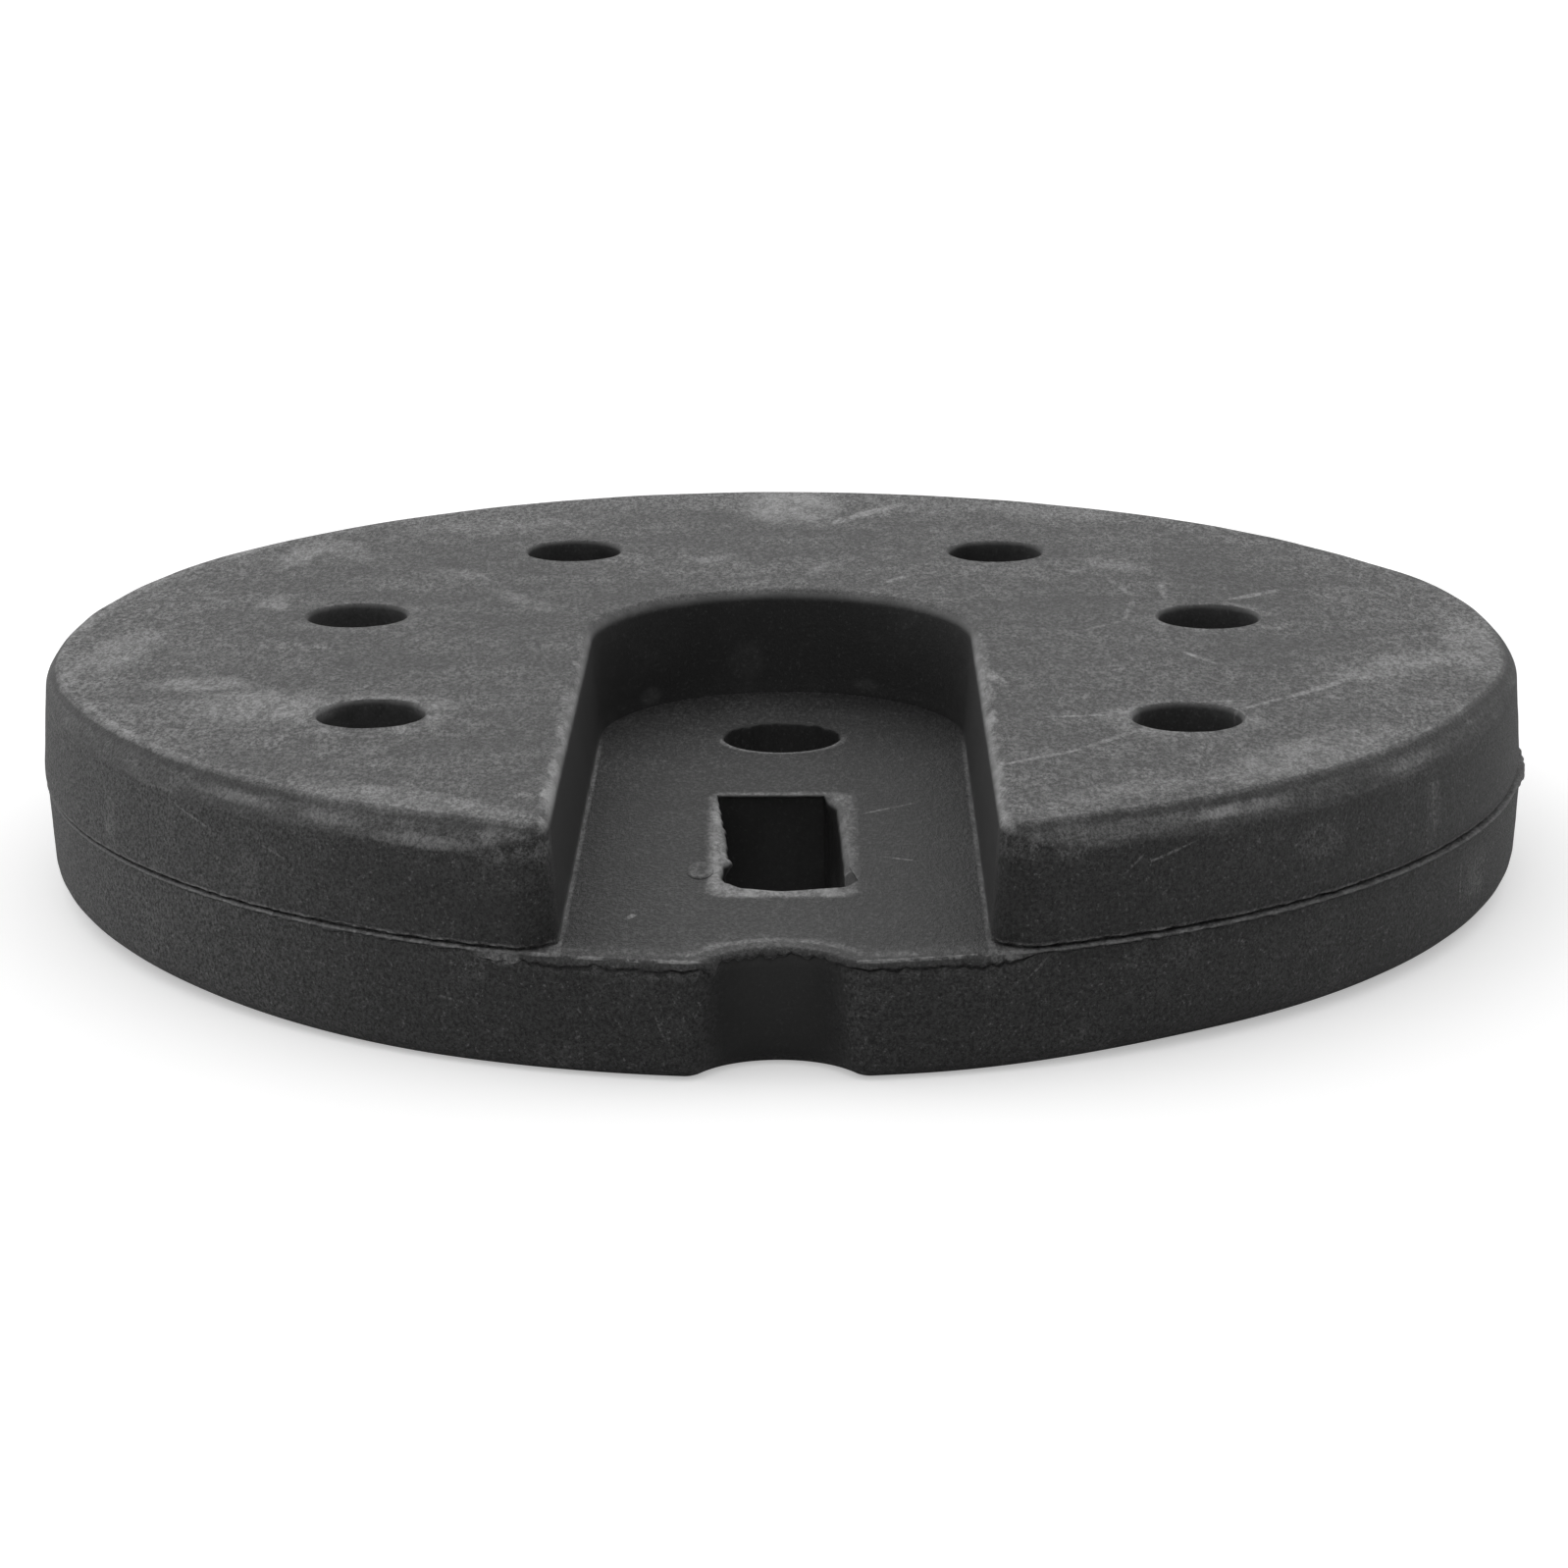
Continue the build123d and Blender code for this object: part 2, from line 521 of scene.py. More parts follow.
# Settings that most of the nodes share. A range gives 0 at its first end and 1 at its second,
# or the two numbers that follow them, and either end may be the larger.
soft = {"interpolation_type": "SMOOTHSTEP"}
times = {"operation": "MULTIPLY"}
plus = {"operation": "ADD"}
times_plus = {"operation": "MULTIPLY_ADD"}
largest = {"operation": "MAXIMUM"}

# Where a point of the surface is, and which way it faces.
in_mm = add("VectorMath", add("TexCoord").outputs["Object"], Scale=1000, operation="SCALE")
x, y, z = add("SeparateXYZ", in_mm).outputs
facing = add("SeparateXYZ", add("NewGeometry").outputs["Normal"]).outputs["Z"]
side = add("Math", x, operation="ABSOLUTE")
flat_place = add("CombineXYZ", x, y)
reach = add("VectorMath", flat_place, operation="LENGTH").outputs["Value"]
on_top = add("MapRange", z, 19.2, 20.4, **soft)
on_floor = add("MapRange", z, 11.0, 10.5, **soft)
on_floor = add("Math", on_floor, add("MapRange", z, 8.4, 9.2, **soft), **times)

# The grain is that of the blasted mould. It is 0.15 mm across, and drawn twice as coarse so that
# it shows. On the top, which is seen at a slant, it is drawn longer from front to back. Pale
# grains of chalk lie in it. The mottle is 1.4 mm across, and the patches are 7 mm.
top_grain_size = 0.34
wall_grain_size = 0.30
mottle_size = 1.4
broken_size = 2.2
patch_size = 7
grain_place = add("VectorMath", in_mm, (1, 0.45, 1), **times)
top_grain = add("TexNoise", grain_place, Scale=1 / top_grain_size, Detail=3, Roughness=0.85)
wall_grain = add("TexNoise", in_mm, Scale=1 / wall_grain_size, Detail=4, Roughness=0.9)
grain = add("Mix", add("MapRange", facing, 0.9, 0.99, **soft), A=wall_grain, B=top_grain)
grain = add("MapRange", grain, 0.36, 0.64, **soft)
chalk = add("TexNoise", grain_place, Scale=1 / top_grain_size, Detail=2, Roughness=0.7)
chalk = add("MapRange", chalk, 0.57, 0.72, **soft)
mottle = add("TexNoise", grain_place, Scale=1 / mottle_size, Detail=5, Roughness=0.75)
patch_place = add("VectorMath", in_mm, (0.7, 1.1, 1), **times)
patches = add("TexNoise", patch_place, Scale=1 / patch_size, Detail=5, Roughness=0.65)
level_up = add("Math", patches, 0.35, facing, **times_plus)
level_up = add("MapRange", level_up, 0.28, 1.03, **soft)

# What is worn is broken up into spots 2.2 mm across, some of it fully and some by half.
broken = add("TexNoise", grain_place, Scale=1 / broken_size, Detail=5, Roughness=0.8)
broken = add("MapRange", broken, 0.42, 0.60, **soft)
thinned = add("Math", broken, 0.5, 0.5, **times_plus)

# The bloom lies in clouds 22 mm across on the top, with a haze that is thickest along the rim.
# How pale the top is set is partly bloom and partly painted sheen of the light that grazes it.
# A strip to the right of the recess is rubbed a little cleaner.
cloud_size = 22
cloud_place = add("VectorMath", in_mm, (0.7, 1.2, 1), **times)
cloud = add("TexNoise", cloud_place, Scale=1 / cloud_size, Detail=5, Roughness=0.6)
cloud = add("MapRange", cloud, 0.36, 0.68, **soft)
patch = add("MapRange", patches, 0.40, 0.66, **soft)
front_rim = add("MapRange", reach, 61, 66.5, **soft)
front_rim = add("Math", front_rim, add("MapRange", y, -15, -45, **soft), **times)
rim_haze = add("MapRange", y, -50, -5, 0.3, 1, **soft)
rim_haze = add("Math", add("MapRange", y, 45, 62, 0, 0.7, **soft), rim_haze, **plus)
rim_haze = add("Math", add("MapRange", x, -45, -60, 0, 0.4, **soft), rim_haze, **plus)
rim_haze = add("Math", add("MapRange", reach, 48, 68, **soft), rim_haze, **times)
rubbed_off = add("MapRange", x, 32, 25, **soft)
rubbed_off = add("Math", rubbed_off, add("MapRange", x, 17, 19, **soft), **times)
rubbed_off = add("Math", rubbed_off, add("MapRange", y, 14, 2, **soft), **times)
top_bloom_and_sheen = add("Math", cloud, 0.30, 0.22, **times_plus)
for strength, kind in ((0.28, patch), (0.12, front_rim), (0.34, rim_haze)):
    top_bloom_and_sheen = add("Math", kind, strength, top_bloom_and_sheen, **times_plus)
top_bloom_and_sheen = add("Math", top_bloom_and_sheen, add("Math", rubbed_off, -0.2, 1, **times_plus), **times)

# It is thinner on the floor of the recess, and paler between the pipe hole and the slot and less
# pale on the right. Towards the front the floor gets painted light, which stands in for the light
# that reaches the open front of the recess.
painted_front_light = add("MapRange", y, -15, -62, **soft)
by_pipe = add("MapRange", y, 0, -9, **soft)
by_pipe = add("Math", by_pipe, add("MapRange", y, -24, -18, **soft), **times)
floor_bloom_and_light = add("Math", patch, 0.06, 0.045, **times_plus)
floor_bloom_and_light = add("Math", painted_front_light, 0.03, floor_bloom_and_light, **times_plus)
floor_bloom_and_light = add("Math", by_pipe, 0.06, floor_bloom_and_light, **times_plus)
floor_bloom_and_light = add("Math", floor_bloom_and_light, add("MapRange", x, 0, 12, 1, 0.6, **soft), **times)

# It only mottles the walls, but more of it is on the left of the rim and in the holes.
in_hole = add("MapRange", side, 19, 20.5, **soft)
in_hole = add("Math", in_hole, add("MapRange", reach, 66, 64, **soft), **times)
wall_bloom = add("MapRange", patches, 0.5, 0.72, **soft)
wall_bloom = add("Math", wall_bloom, 0.14, 0.02, **times_plus)
wall_bloom = add("Math", wall_bloom, add("MapRange", z, 10.3, 9.8, 0, 0.025, **soft), **plus)
wall_bloom = add("Math", wall_bloom, add("MapRange", x, -20, -67, 0, 0.32, **soft), **plus)
wall_bloom = add("Math", in_hole, 0.2, wall_bloom, **times_plus)

# Faces that look up take the bloom of the top or of the floor, a little less of it on the crown
# at the left and right. Other faces take that of the walls. That the up faces are so much paler
# is partly bloom and partly painted sheen.
up_bloom_and_sheen = add("Mix", add("MapRange", z, 11.5, 18, **soft), A=floor_bloom_and_light, B=top_bloom_and_sheen)
crown_share = add("MapRange", side, 40, 62, 1, 0.76, **soft)
crown_share = add("MapRange", facing, 0.97, 0.7, 1, crown_share, **soft)
up_bloom_and_sheen = add("Math", up_bloom_and_sheen, crown_share, **times)
bloom_and_painted_light = add("Mix", level_up, A=wall_bloom, B=up_bloom_and_sheen)

# Where the crown meets the top, its first edge is painted dark, as painted shade in that bend.
crease_shade = add("MapRange", z, 20.42, 20.25, **soft)
crease_shade = add("Math", crease_shade, add("MapRange", z, 19.7, 20.0, **soft), **times)
crease_shade = add("Math", crease_shade, add("MapRange", reach, 66.6, 67.2, **soft), **times)
bloom_and_painted_light = add("Math", bloom_and_painted_light, add("Math", crease_shade, -0.55, 1, **times_plus), **times)


def oval_mark(place, size, start, full, strength=1, turn=0, tilt=0):
    """A mark that grows from the edge of this oval to full strength inside it."""
    turned = (0, radians(-tilt), radians(turn))
    half_size = [length / 2 for length in size]
    placed = add("Mapping", in_mm, place, turned, half_size, vector_type="TEXTURE")
    depth = add("TexGradient", placed, gradient_type="SPHERICAL").outputs["Fac"]
    return add("MapRange", depth, start, full, 0, strength, **soft)


# Scuffs, where something pale has rubbed off. Each has its place, its size, its turn and its
# strength. Those on the crown, the wall and the lip lie along the rim.
scuffs = 0
for place, size, turn, strength in (
    # The top, behind the holes and between them.
    ((0.5, 60.0, top_z), (26, 14, 4), 90, 0.75),
    ((-50.0, 37.0, top_z), (18, 5, 4), 80, 0.60),
    ((-50.6, 13.8, top_z), (9, 3, 4), 72, 0.55),
    ((-31.0, 50.0, top_z), (26, 7, 4), 12, 0.28),
    ((-46.0, 38.0, top_z), (16, 6, 4), -62, 0.30),
    ((-50.3, 12.8, top_z), (8, 4, 4), -60, 0.50),
    ((-33.0, 26.5, top_z), (11, 4, 4), -43, 0.32),
    ((-25.5, 14.0, top_z), (17, 4, 4), -56, 0.36),
    ((-7.5, 33.0, top_z), (10, 4, 4), 40, 0.34),
    ((4.5, 28.5, top_z), (10, 4, 4), 70, 0.30),
    ((28.0, 56.0, top_z), (24, 9, 4), -25, 0.28),
    ((34.0, 29.0, top_z), (12, 6, 4), -40, 0.32),
    # The top, towards the front.
    ((-62.5, -7.0, top_z), (26, 8, 4), 77, 0.46),
    ((-53.0, -19.0, top_z), (13, 7, 4), 0, 0.45),
    ((-46.0, -27.0, top_z), (18, 15, 4), 0, 0.55),
    ((-30.5, -27.0, top_z), (9, 5, 4), -70, 0.36),
    ((-30.0, -58.0, top_z), (30, 8, 4), -27, 0.34),
    ((29.0, -56.0, top_z), (20, 6, 4), 27, 0.32),
    ((30.5, -31.5, top_z), (6, 8, 4), 0, 0.42),
    ((45.0, -45.0, top_z), (34, 10, 4), 46, 0.46),
    ((57.5, -13.5, top_z), (24, 8, 4), 42, 0.42),
    ((65.0, -6.0, top_z), (34, 7, 4), 85, 0.40),
    # The crown.
    ((-45.5, -52.0, 19.3), (16, 3, 1.3), -41, 0.36),
    ((-36.5, -58.7, 19.2), (9, 3, 1.3), -32, 0.34),
    ((-28.5, -63.0, 18.6), (13, 3, 1.6), -24, 0.34),
    ((29.5, -62.0, 19.3), (14, 3, 1.8), 26, 0.20),
    ((38.2, -57.6, 19.4), (18, 3, 1.3), 33, 0.55),
    ((55.0, -42.0, 19.2), (14, 3, 1.4), 53, 0.35),
    # The wall.
    ((-58.0, -38.5, 13.8), (3, 4, 7), -56, 0.14),
    ((-44.0, -53.8, 13.0), (4, 4, 7), -39, 0.10),
    ((45.5, -52.8, 15.4), (8, 4, 4.5), 41, 0.10),
    ((56.7, -40.8, 15.0), (4, 4, 8), 54, 0.10),
    ((61.5, -32.2, 6.0), (8, 4, 7), 62, 0.12),
    # The lip, with its flap and its lump.
    ((-22.0, -66.2, 9.7), (6, 4, 1.8), -18, 0.36),
    ((9.8, -67.6, 10.2), (8, 1.8, 2), 8, 0.34),
    ((18.5, -67.5, 10.0), (4, 4, 1.2), 16, 0.40),
    # The back wall of the recess.
    ((-3.8, 17.5, 13.6), (5, 4, 5), 0, 0.09),
    ((-13.2, 11.8, 11.4), (4, 4, 2.4), 45, 0.08),
    ((8.4, 15.8, 11.5), (3.5, 4, 1.6), -25, 0.10),
):
    scuffs = add("Math", scuffs, oval_mark(place, size, 0, 0.6, strength, turn), **largest)
scuffs = add("Math", scuffs, add("Math", broken, 0.6, 0.4, **times_plus), **times)

# Scratches, each a long fine mark that is turned along the surface, and on the wall is also
# tilted up or down. Each has its place, its size, its turn, its tilt and its strength.
scratches = 0
for place, size, turn, tilt, strength in (
    # The top.
    ((8.5, 55.0, top_z), (22, 2.4, 4), 53, 0, 0.55),
    ((30.5, 25.7, top_z), (8, 1.0, 4), -32, 0, 0.30),
    ((33.8, 19.0, top_z), (15, 0.9, 4), -78, 0, 0.28),
    ((33.9, 9.0, top_z), (12, 0.9, 4), 79, 0, 0.26),
    ((31.0, 2.5, top_z), (9, 0.9, 4), 45, 0, 0.26),
    ((37.9, 17.3, top_z), (10, 1.1, 4), 90, 0, 0.45),
    ((46.9, 15.3, top_z), (9, 1.6, 4), 38, 0, 0.50),
    ((53.6, 15.0, top_z), (4, 1.8, 4), -55, 0, 0.50),
    ((38.8, -10.2, top_z), (8, 0.9, 4), -61, 0, 0.65),
    ((46.0, -25.0, top_z), (24, 1.0, 4), 43, 0, 0.52),
    ((56.0, -15.8, top_z), (26, 2.2, 4), 41, 0, 0.55),
    ((27.0, -31.7, top_z), (13, 0.8, 4), 6, 0, 0.50),
    ((28.5, -40.0, top_z), (11, 1.0, 4), 49, 0, 0.46),
    ((22.7, -45.3, top_z), (13, 1.0, 4), 35, 0, 0.44),
    ((19.6, -17.6, top_z), (9, 1.8, 4), -75, 0, 0.50),
    ((11.5, 23.0, top_z), (5, 1.5, 4), 55, 0, 0.45),
    ((39.5, -26.8, top_z), (6, 0.8, 4), 8, 0, 0.45),
    # The floor of the recess.
    ((9.8, -25.2, floor_z), (7.5, 0.6, 2), 36, 0, 0.50),
    ((10.4, -40.9, floor_z), (5.5, 0.5, 2), -24, 0, 0.50),
    ((-12.0, -57.3, floor_z), (2.2, 0.8, 2), 66, 0, 0.75),
    # The wall.
    ((-49.3, -49.1, 16.7), (6, 4, 0.3), -46, -14, 0.28),
    ((-41.6, -55.7, 15.6), (4, 4, 0.3), -38, -14, 0.20),
    ((32.0, -61.8, 16.9), (6.5, 4, 0.3), 27, 14, 0.30),
    ((29.0, -63.2, 16.4), (3.4, 4, 0.3), 25, 38, 0.24),
    ((44.8, -53.6, 15.8), (4.5, 4, 0.3), 40, 45, 0.20),
    ((46.6, -52.0, 16.0), (4.0, 4, 0.3), 42, -40, 0.20),
    ((56.7, -40.8, 15.0), (0.4, 4, 7), 54, 0, 0.35),
    ((59.8, -35.8, 6.4), (0.5, 4, 5), 59, 10, 0.40),
    ((21.2, -66.6, 8.8), (3.0, 4, 0.3), 18, 45, 0.26),
    ((-9.2, -69.2, 4.5), (0.3, 4, 3.0), -8, 20, 0.20),
    ((-26.5, -64.5, 5.6), (4, 4, 0.3), -24, -8, 0.15),
):
    scratch = oval_mark(place, size, 0, 0.5, strength, turn, tilt)
    scratches = add("Math", scratches, scratch, **largest)
scratches = add("Math", scratches, add("MapRange", mottle, 0.32, 0.58, **soft), **times)

# Wear on the edge of the recess, worst towards the front, on the two corners there, and in a
# line on its floor along each side.
forward = add("Math", y, 0, **largest)
recess_place = add("CombineXYZ", x, forward)
recess_reach = add("VectorMath", recess_place, operation="LENGTH").outputs["Value"]
frayed_size = 1.8
frayed = add("TexNoise", grain_place, Scale=1 / frayed_size, Detail=5, Roughness=0.75)
frayed = add("Math", frayed, 3.2, recess_reach, **times_plus)
recess_wear = add("MapRange", frayed, 21.0, 20.1, **soft)
recess_share = add("MapRange", y, 6, -14, 0.15, 1, **soft)
floor_line = add("MapRange", side, 17.05, 17.3, **soft)
for fade in (
    add("MapRange", z, 11.0, 10.6, **soft),
    add("MapRange", z, 10.1, 10.2, **soft),
    add("MapRange", y, 2, -8, **soft),
):
    floor_line = add("Math", floor_line, fade, **times)
left_corner = oval_mark((-20.4, -64.4, 18.9), (10, 7, 4.8), 0, 0.6)
right_corner = oval_mark((21.4, -64.0, 18.9), (12, 7, 4.8), 0, 0.6)
corner_wear = add("Math", left_corner, right_corner, **largest)

# Wear along the rim: a pale line where the crown meets the top, clearest at the left, and
# faint streaks lower on the crown.
rim_line = add("MapRange", reach, 66.5, 67.1, **soft)
rim_line = add("Math", rim_line, add("MapRange", z, 20.2, 20.45, **soft), **times)
left_share = add("MapRange", x, -40, -58, 0.15, 1, **soft)
band = add("MapRange", z, 17.4, 18.3, **soft)
band = add("Math", band, add("MapRange", z, 19.9, 19.2, **soft), **times)
band = add("Math", band, add("MapRange", reach, 65.5, 67.5, **soft), **times)
along_rim = add("Math", add("Math", x, y, operation="ARCTAN2"), rim_radius, **times)
streak_size = 1.1
streaky = add("CombineXYZ", add("Math", along_rim, 0.2, **times), z)
streaky = add("TexNoise", streaky, Scale=1 / streak_size, Detail=4, Roughness=0.7)
streaky = add("MapRange", streaky, 0.50, 0.70, **soft)

# Wear about the slot. Its lip is rubbed pale out to a line that is rounded at the corners, but
# not where it is torn. To the left of it the floor is cracked, by the flake.
slot_left = -4.9
slot_right = 5.1
slot_middle = -35.9
slot_half_length = 14.4
past_left = add("Math", y, -0.018, slot_left, **times_plus)
past_left = add("Math", past_left, x, operation="SUBTRACT")
slot_across = add("Math", past_left, add("Math", x, -slot_right, **plus), **largest)
slot_across = add("Math", slot_across, 0, **largest)
slot_along = add("Math", add("Math", y, -slot_middle, **plus), operation="ABSOLUTE")
slot_along = add("Math", slot_along, -slot_half_length, **plus)
slot_along = add("Math", slot_along, 0, **largest)
slot_gap = add("CombineXYZ", slot_across, slot_along)
slot_gap = add("VectorMath", slot_gap, operation="LENGTH").outputs["Value"]
slot_gap = add("Math", mottle, 0.5, slot_gap, **times_plus)
slot_tear = oval_mark((6.15, -47.2, 10), (1.9, 6.4, 4), 0.05, 0.2)
slot_tear = add("Math", slot_tear, add("MapRange", z, 10.28, 10.15, **soft), **times)
slot_wear = add("MapRange", slot_gap, 2.5, 1.4, **soft)
for fade in (
    add("MapRange", x, 4.5, 6.5, 1, 0.5, **soft),
    add("MapRange", y, -22.5, -20.5, 1, 0.6, **soft),
    add("Math", slot_tear, -0.9, 1, **times_plus),
):
    slot_wear = add("Math", slot_wear, fade, **times)
slot_cracks = oval_mark((-6.5, -41.5, floor_z), (1.4, 12, 2), 0.1, 0.4)
slot_cracks = add("Math", slot_cracks, add("MapRange", mottle, 0.52, 0.42, **soft), **times)
flake_place = (flake_x / mm, flake_y / mm, floor_z)
flake_wear = oval_mark(flake_place, (2.6, 5.6, 2), 0.02, 0.2)

# Wear on the front edge of the pipe hole, and halos about the holes in the top, the palest
# before the front left one.
pipe_edge = pipe_hole / mm
pipe_wear = add("MapRange", reach, pipe_edge + 1.0, pipe_edge + 0.3, **soft)
pipe_wear = add("Math", pipe_wear, add("MapRange", y, 1.5, -4, **soft), **times)
halos = 0
for name, strength in (
    ("front_left", 0.6),
    ("front_right", 0.35),
    ("middle_right", 0.25),
    ("middle_left", 0.15),
):
    hole_x, hole_y = hole_places[name]
    halo_place = (hole_x / mm, hole_y / mm - 0.6, 0)
    away = add("VectorMath", flat_place, halo_place, operation="DISTANCE").outputs["Value"]
    halo = add("MapRange", away, 8.5, 5.2, 0, strength, **soft)
    halos = add("Math", halos, halo, **largest)
flat_share = add("MapRange", facing, 0.9, 0.99, **soft)

# Wear and a painted highlight on the lip that the open part of the lower half has along its
# front and the notch. They follow the edge, and a pale line runs 2 to 3 mm behind it.
notch_place = (lower_shift / mm, notch_centre[1] / mm, 0)
notch_gap = add("VectorMath", flat_place, notch_place, operation="DISTANCE").outputs["Value"]
notch_gap = add("Math", notch_gap, -notch_radius / mm, **plus)
rim_gap = add("Math", add("Math", reach, -1, **times), lower_radius / mm, **plus)
edge_gap = add("Math", rim_gap, notch_gap, operation="MINIMUM")
edge_gap = add("Math", mottle, 0.8, edge_gap, **times_plus)
near_notch = add("MapRange", side, 9, 6, 0.15, 1, **soft)
lip_line = add("MapRange", edge_gap, 1.6, 2.1, **soft)
lip_line = add("Math", lip_line, add("MapRange", edge_gap, 3.0, 2.5, **soft), **times)
lip_line = add("Math", lip_line, near_notch, **times)
lip_wear_and_highlight = add("MapRange", edge_gap, 5.5, 2.0, **soft)
lip_wear_and_highlight = add("Math", lip_wear_and_highlight, 0.25, lip_line, **times_plus)
for fade in (add("MapRange", side, 24, 19, **soft), add("MapRange", y, -52, -60, **soft)):
    lip_wear_and_highlight = add("Math", lip_wear_and_highlight, fade, **times)

# Wear on the thin lip that shows between the halves. It is broken at the front, even at the
# sides, and faint at the right.
seam = add("MapRange", z, 10.06, 10.2, **soft)
seam = add("Math", seam, add("MapRange", z, 10.42, 10.34, **soft), **times)
seam = add("Math", seam, add("MapRange", reach, 69.2, 69.5, **soft), **times)
seam_break_size = 1.6
seam_broken = add("TexNoise", in_mm, Scale=1 / seam_break_size, Detail=4, Roughness=0.7)
seam_broken = add("MapRange", seam_broken, 0.42, 0.58, **soft)
seam_share = add("Mix", add("MapRange", side, 40, 52, **soft), A=seam_broken, B=0.6)
seam_share = add("Math", seam_share, add("MapRange", x, 38, 52, 1, 0.2, **soft), **times)

# All the wear, with the painted highlight on the front lip, each kind with its strength and with
# what limits it.
worn = 0
for strength, *limits in (
    (1.0, scuffs),
    (1.0, scratches),
    (0.85, recess_wear, on_top, recess_share, thinned),
    (0.45, floor_line, thinned),
    (0.30, corner_wear, broken),
    (0.50, rim_line, left_share, broken),
    (0.20, band, streaky),
    (0.90, slot_wear, on_floor, level_up, thinned),
    (0.45, pipe_wear, on_floor, level_up),
    (0.18, flake_wear, on_floor, level_up),
    (1.0, halos, on_top, broken, flat_share),
    (0.36, lip_wear_and_highlight, on_floor, thinned),
    (0.55, seam, seam_share),
):
    layer = strength
    for limit in limits:
        layer = add("Math", layer, limit, **times)
    worn = add("Math", worn, layer, **largest)

# The bloom takes the mottle and the chalk. It is painted thin on the walls of the recess and the
# holes, and in the notch and the slot, as painted shade in those hollows.
mottle_depth = add("MapRange", z, 18, 20.4, 1.2, 3.4, **soft)
mottled = add("Math", add("Math", mottle, -0.5, **plus), mottle_depth, **times)
bloom_and_painted_light = add("Math", bloom_and_painted_light, add("Math", mottled, 1, **plus), **times)
chalk_share = add("MapRange", facing, 0.1, 0.5, 0.4, 0.10, **soft)
bloom_and_painted_light = add("Math", chalk, chalk_share, bloom_and_painted_light, **times_plus)
sunk_shade = add("MapRange", reach, 69.6, 66.4, **soft)
for fade in (
    add("MapRange", y, -19, -20, **soft),
    add("MapRange", side, 8.6, 3.5, **soft),
    add("MapRange", z, 9.95, 9.65, **soft),
    add("MapRange", facing, -0.8, -0.3, **soft),
):
    sunk_shade = add("Math", sunk_shade, fade, **times)
hollow_shade = add("MapRange", facing, 0.99, 0.6, **soft)
hollow_shade = add("Math", hollow_shade, add("MapRange", reach, 66, 62, **soft), **times)
hollow_shade = add("Math", hollow_shade, sunk_shade, **largest)
bloom_and_painted_light = add("Math", bloom_and_painted_light, add("Math", hollow_shade, -0.5, 1, **times_plus), **times)

# Over all lies the grain, deepest on the walls, and faint in the hollows with painted shade and
# where the rubber is rubbed smooth.
grain_share = add("Math", add("Math", worn, hollow_shade, **largest), -0.8, 1, **times_plus)
wall_depth = add("MapRange", facing, 0.1, 0.4, 2.0, 1.2, **soft)
grain_depth = add("Math", grain_share, wall_depth, **times)
grain_shade = add("Math", add("Math", grain, -0.5, **plus), grain_depth, 1, **times_plus)

# The cracks and the tear at the slot and the right of the floor are darker. Painted shade darkens
# the walls of the notch and the slot and the wall beside the recess. Each goes by its own share.
slot_shade = add("Math", slot_cracks, add("Math", slot_tear, 0.8, **times), **largest)
sunk_shade_share = add("MapRange", y, -52, -62, -0.5, -0.72, **soft)
floor_right = add("Math", add("MapRange", x, -1, 8, 0, 0.2, **soft), on_floor, **times)
recess_side_shade = add("MapRange", side, 42, 24, **soft)
recess_side_shade = add("Math", recess_side_shade, add("MapRange", z, 11, 12, **soft), **times)
recess_side_shade = add("Math", recess_side_shade, add("MapRange", facing, 0.6, 0.1, **soft), **times)
for dark, share in (
    (slot_shade, -0.6),
    (sunk_shade, sunk_shade_share),
    (floor_right, -1),
    (recess_side_shade, -0.14),
):
    dark = add("Math", dark, share, 1, **times_plus)
    grain_shade = add("Math", grain_shade, dark, **times)

# The colour goes from the black of the rubber to the grey of the bloom and its painted light,
# and to that of the wear and its painted highlight. Both make it a little rougher.
colour = add("Mix", bloom_and_painted_light, data_type="RGBA")
colour.inputs[6].default_value = linear(rubber_black)
colour.inputs[7].default_value = linear(bloom_and_painted_light_grey)
rubbed = add("Mix", worn, data_type="RGBA")
tree.links.new(colour.outputs[2], rubbed.inputs[6])
rubbed.inputs[7].default_value = linear(wear_and_highlight_grey)
shade = add("VectorMath", rubbed.outputs[2], Scale=grain_shade, operation="SCALE")
roughness = add("Math", add("Math", bloom_and_painted_light, worn, **largest), 0.25, 0.56, **times_plus)
relief = add("Bump", Height=grain, Strength=grain_share, Distance=0.06 * mm)
relief = add("Bump", Height=mottle, Strength=grain_share, Distance=0.15 * mm, Normal=relief)
shader = tree.nodes["Principled BSDF"]
shader.inputs["Specular IOR Level"].default_value = 0.42
tree.links.new(shade.outputs[0], shader.inputs["Base Color"])
tree.links.new(roughness.outputs[0], shader.inputs["Roughness"])
tree.links.new(relief.outputs[0], shader.inputs["Normal"])

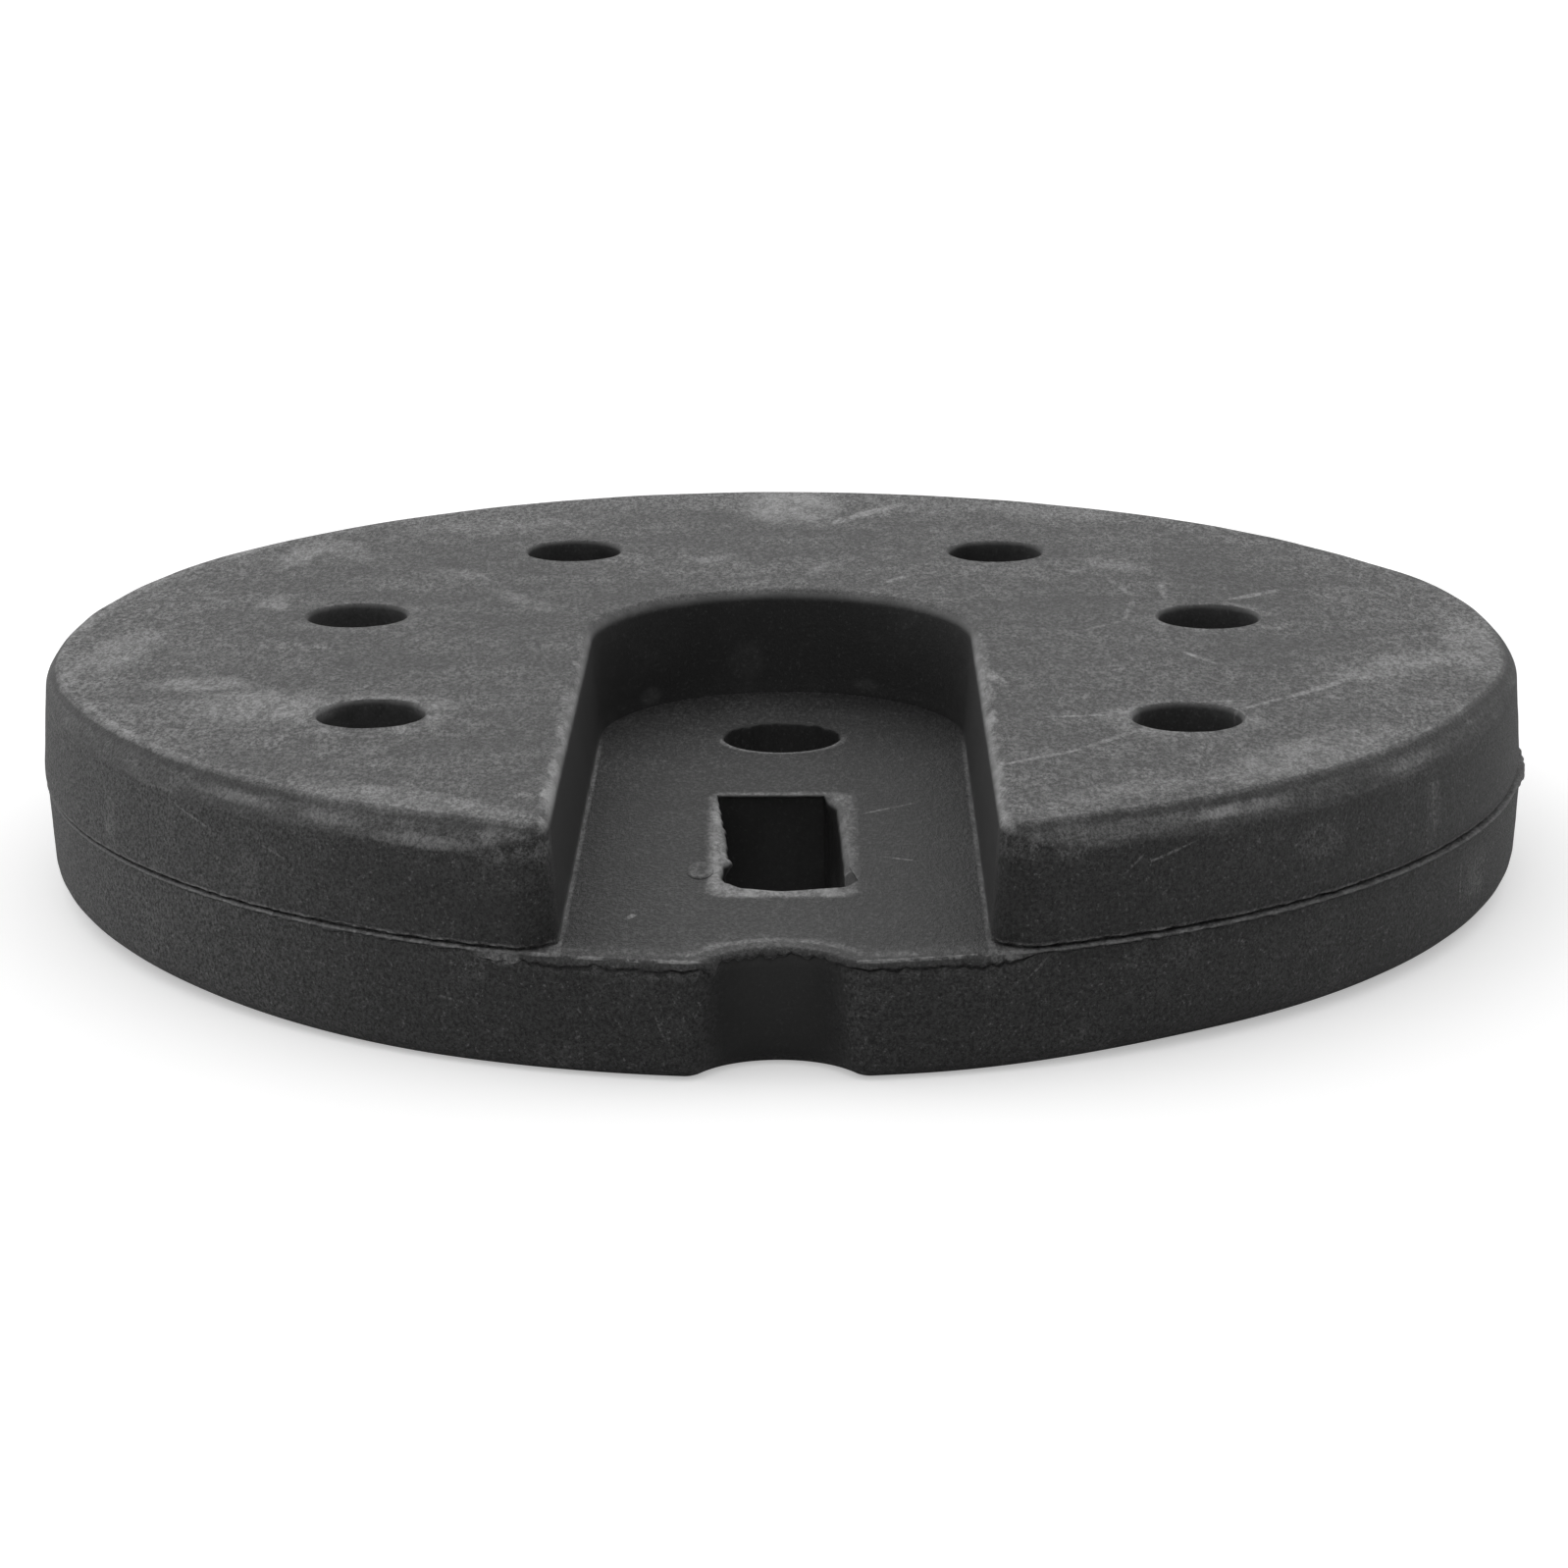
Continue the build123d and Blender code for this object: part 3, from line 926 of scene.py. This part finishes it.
# The floor: a wide white painted board, a hair below the disc so that the two planes don't lie
# in each other. What the camera sees of it is lifted to full white, and it keeps the shadow of
# the disc.
floor_size = 6
floor_gap = 0.05 * mm
floor_white = "#e6e6e6"
floor_lift = 0.4
bpy.ops.object.select_all(action="DESELECT")
bpy.ops.mesh.primitive_plane_add(size=floor_size, location=(0, 0, -floor_gap))
bpy.ops.object.transform_apply(location=True)
floor = bpy.context.object
floor.name = "floor"
paint = bpy.data.materials.new("floor_paint_matt_white")
paint.use_nodes = True
tree = paint.node_tree
floor.data.materials.append(paint)
shader = tree.nodes["Principled BSDF"]
shader.inputs["Base Color"].default_value = linear(floor_white)
shader.inputs["Roughness"].default_value = 1
shader.inputs["Specular IOR Level"].default_value = 0
shader.inputs["Emission Color"].default_value = (1, 1, 1, 1)
seen = add("Math", add("LightPath").outputs["Is Camera Ray"], floor_lift, **times)
tree.links.new(seen.outputs[0], shader.inputs["Emission Strength"])

# The light: a white room, bright above and behind and dim in front, and a little brighter on
# the left, as in a light tent.
dim_level = 0.22
brighter_by = 0.83
world = bpy.data.worlds.new("light_tent")
bpy.context.scene.world = world
world.use_nodes = True
tree = world.node_tree
across, ahead, above = add("SeparateXYZ", add("TexCoord").outputs["Generated"]).outputs
bright = add("MapRange", ahead, -0.68, 0.42, **soft)
bright = add("Math", bright, add("MapRange", above, 0.2, 0.9, **soft), **largest)
level = add("Math", bright, brighter_by, dim_level, **times_plus)
level = add("Math", level, add("MapRange", across, 6, -6, 0, 2, **soft), **times)
level = add("Math", level, add("LightPath").outputs["Is Camera Ray"], **largest)
background = tree.nodes["Background"]
background.inputs["Color"].default_value = (1, 1, 1, 1)
tree.links.new(level.outputs[0], background.inputs["Strength"])

bpy.context.scene.view_settings.view_transform = "Standard"

# The camera stands 37 cm in front of the disc, 11 cm up, and looks down on it by 16 degrees
# through a lens that flattens it slightly.
camera_place = (4.05 * mm, -374.25 * mm, 110.5 * mm)
turned_left = radians(0.5937)
tilted_down = radians(15.661)
leaned_right = radians(0.393)
camera_data = bpy.data.cameras.new("camera")
camera_data.lens = 92.29
camera_data.sensor_width = 36
camera_data.clip_start = 0.01
camera = bpy.data.objects.new("camera", camera_data)
bpy.context.collection.objects.link(camera)
camera.matrix_world = (
    Matrix.Translation(camera_place)
    @ Matrix.Rotation(turned_left, 4, "Z")
    @ Matrix.Rotation(radians(90) - tilted_down, 4, "X")
    @ Matrix.Rotation(-leaned_right, 4, "Z")
)
bpy.context.scene.camera = camera
